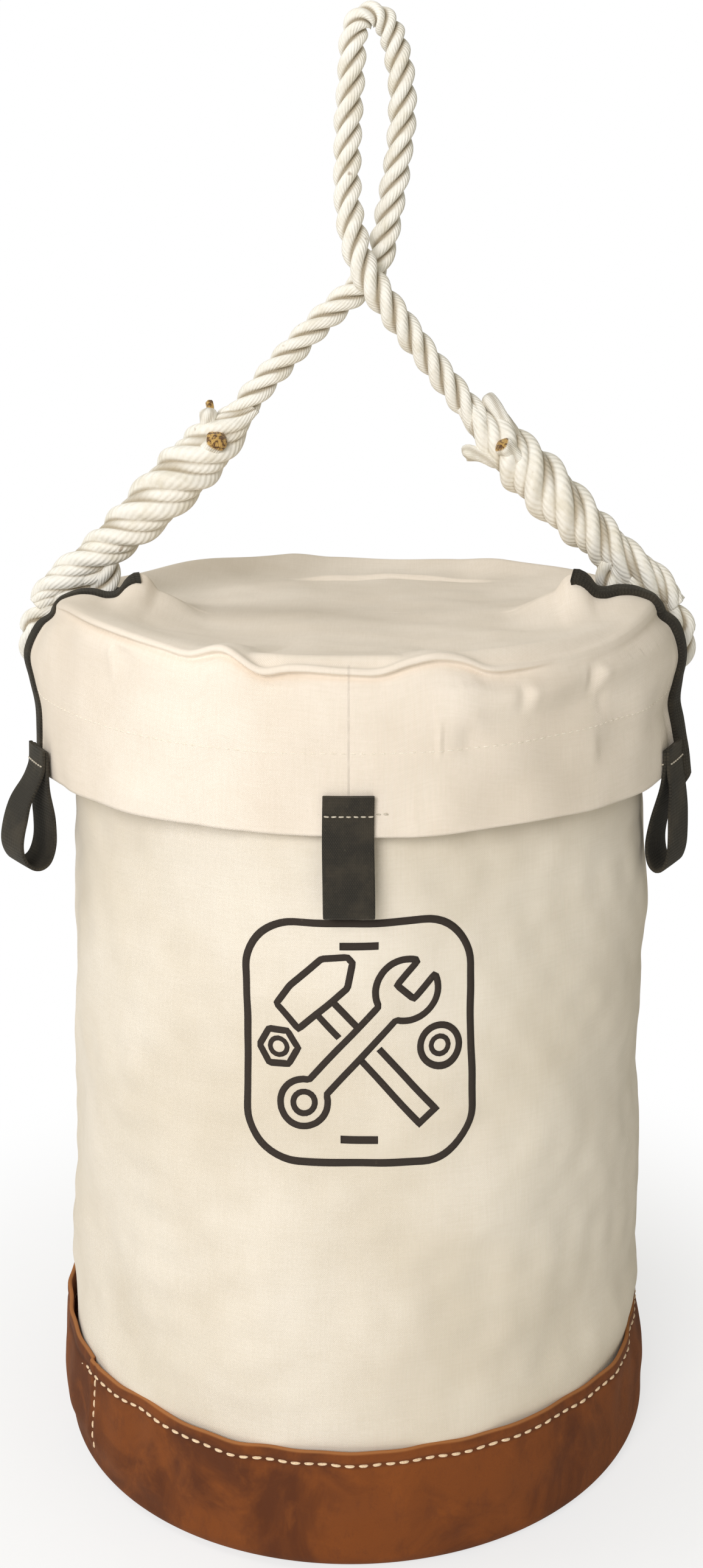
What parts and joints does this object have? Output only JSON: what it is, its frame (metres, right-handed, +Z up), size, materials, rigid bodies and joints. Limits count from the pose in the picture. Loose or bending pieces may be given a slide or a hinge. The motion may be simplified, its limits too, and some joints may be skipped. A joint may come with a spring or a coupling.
{
  "type": "tool bucket",
  "caption": "Round canvas tool bucket with a leather boot, a soft closing lid with webbing pull loops, and a spliced rope handle with a lifting eye.",
  "frame": {"origin": "centre of the underside, on the ground plane", "axes": "+Z up, -Y towards the front pull loop, +X to the right seen from the front"},
  "size_m": [0.3892, 0.3466, 0.757],
  "materials": {
    "canvas": "natural duck canvas, unbleached, matt",
    "lining": "plain cotton lining, matt",
    "leather": "brown suede, nap brushed",
    "webbing": "black woven webbing",
    "rope": "white three-strand twisted rope",
    "thread": "waxed pale thread",
    "steel": "drawn wire",
    "brass": "rolled and pressed",
    "board": "fine matt texture"
  },
  "bodies": {
    "bucket": {"wall_canvas": "canvas", "wall_lining": "lining", "floor_canvas": "canvas", "base_board": "board", "leather_sole": "leather", "leather_boot": "leather", "boot_top_stitching": "thread", "boot_seam_stitching": "thread", "wall_seam_stitching": "thread", "rim_hoop": "steel", "rim_hem_stitching": "thread", "left_grommet": "brass", "right_grommet": "brass", "left_rope_eye": "rope", "right_rope_eye": "rope", "lid_rear_panel": "canvas", "lid_rear_skirt": "canvas", "lid_rear_stitching": "thread", "left_slot_binding": "webbing", "right_slot_binding": "webbing"},
    "lid_flap": {"lid_front_panel": "canvas", "lid_skirt": "canvas", "skirt_hem_stitching": "thread", "left_edge_binding": "webbing", "right_edge_binding": "webbing", "front_loop_base": "webbing", "left_loop_base": "webbing", "right_loop_base": "webbing", "front_loop_tack": "thread", "left_loop_tack": "thread", "right_loop_tack": "thread"},
    "front_loop": {"front_pull_loop": "webbing"},
    "left_loop": {"left_pull_loop": "webbing"},
    "right_loop": {"right_pull_loop": "webbing"},
    "rope_handle": {"left_splice": "rope", "right_splice": "rope", "left_splice_tails": "rope", "right_splice_tails": "rope", "left_rope_leg": "rope", "right_rope_leg": "rope"},
    "lifting_loop": {"lifting_eye": "rope"}
  },
  "joints": [
    {"name": "flap_fold", "type": "hinge", "parent": "bucket", "child": "lid_flap", "pos_m": [0, -0.02, 0.431], "axis": [-1, 0, 0], "range_deg": [0, 88]},
    {"name": "handle_swing", "type": "hinge", "parent": "bucket", "child": "rope_handle", "pos_m": [0, 0, 0.45604], "axis": [1, 0, 0], "range_deg": [-85, 0], "stiffness_Nm_per_rad": 1},
    {"name": "eye_fold", "type": "hinge", "parent": "rope_handle", "child": "lifting_loop", "pos_m": [0.009, 0, 0.606], "axis": [1, 0, 0], "range_deg": [-55, 40], "stiffness_Nm_per_rad": 0.6},
    {"name": "front_loop_lift", "type": "hinge", "parent": "lid_flap", "child": "front_loop", "pos_m": [0, -0.164, 0.3588], "axis": [-1, 0, 0], "range_deg": [0, 100]},
    {"name": "left_loop_lift", "type": "hinge", "parent": "lid_flap", "child": "left_loop", "pos_m": [-0.16955, -0.03604, 0.3508], "axis": [-0.2079, 0.9781, 0], "range_deg": [0, 100]},
    {"name": "right_loop_lift", "type": "hinge", "parent": "lid_flap", "child": "right_loop", "pos_m": [0.16955, -0.03604, 0.3508], "axis": [-0.2079, -0.9781, 0], "range_deg": [0, 100]}
  ]
}
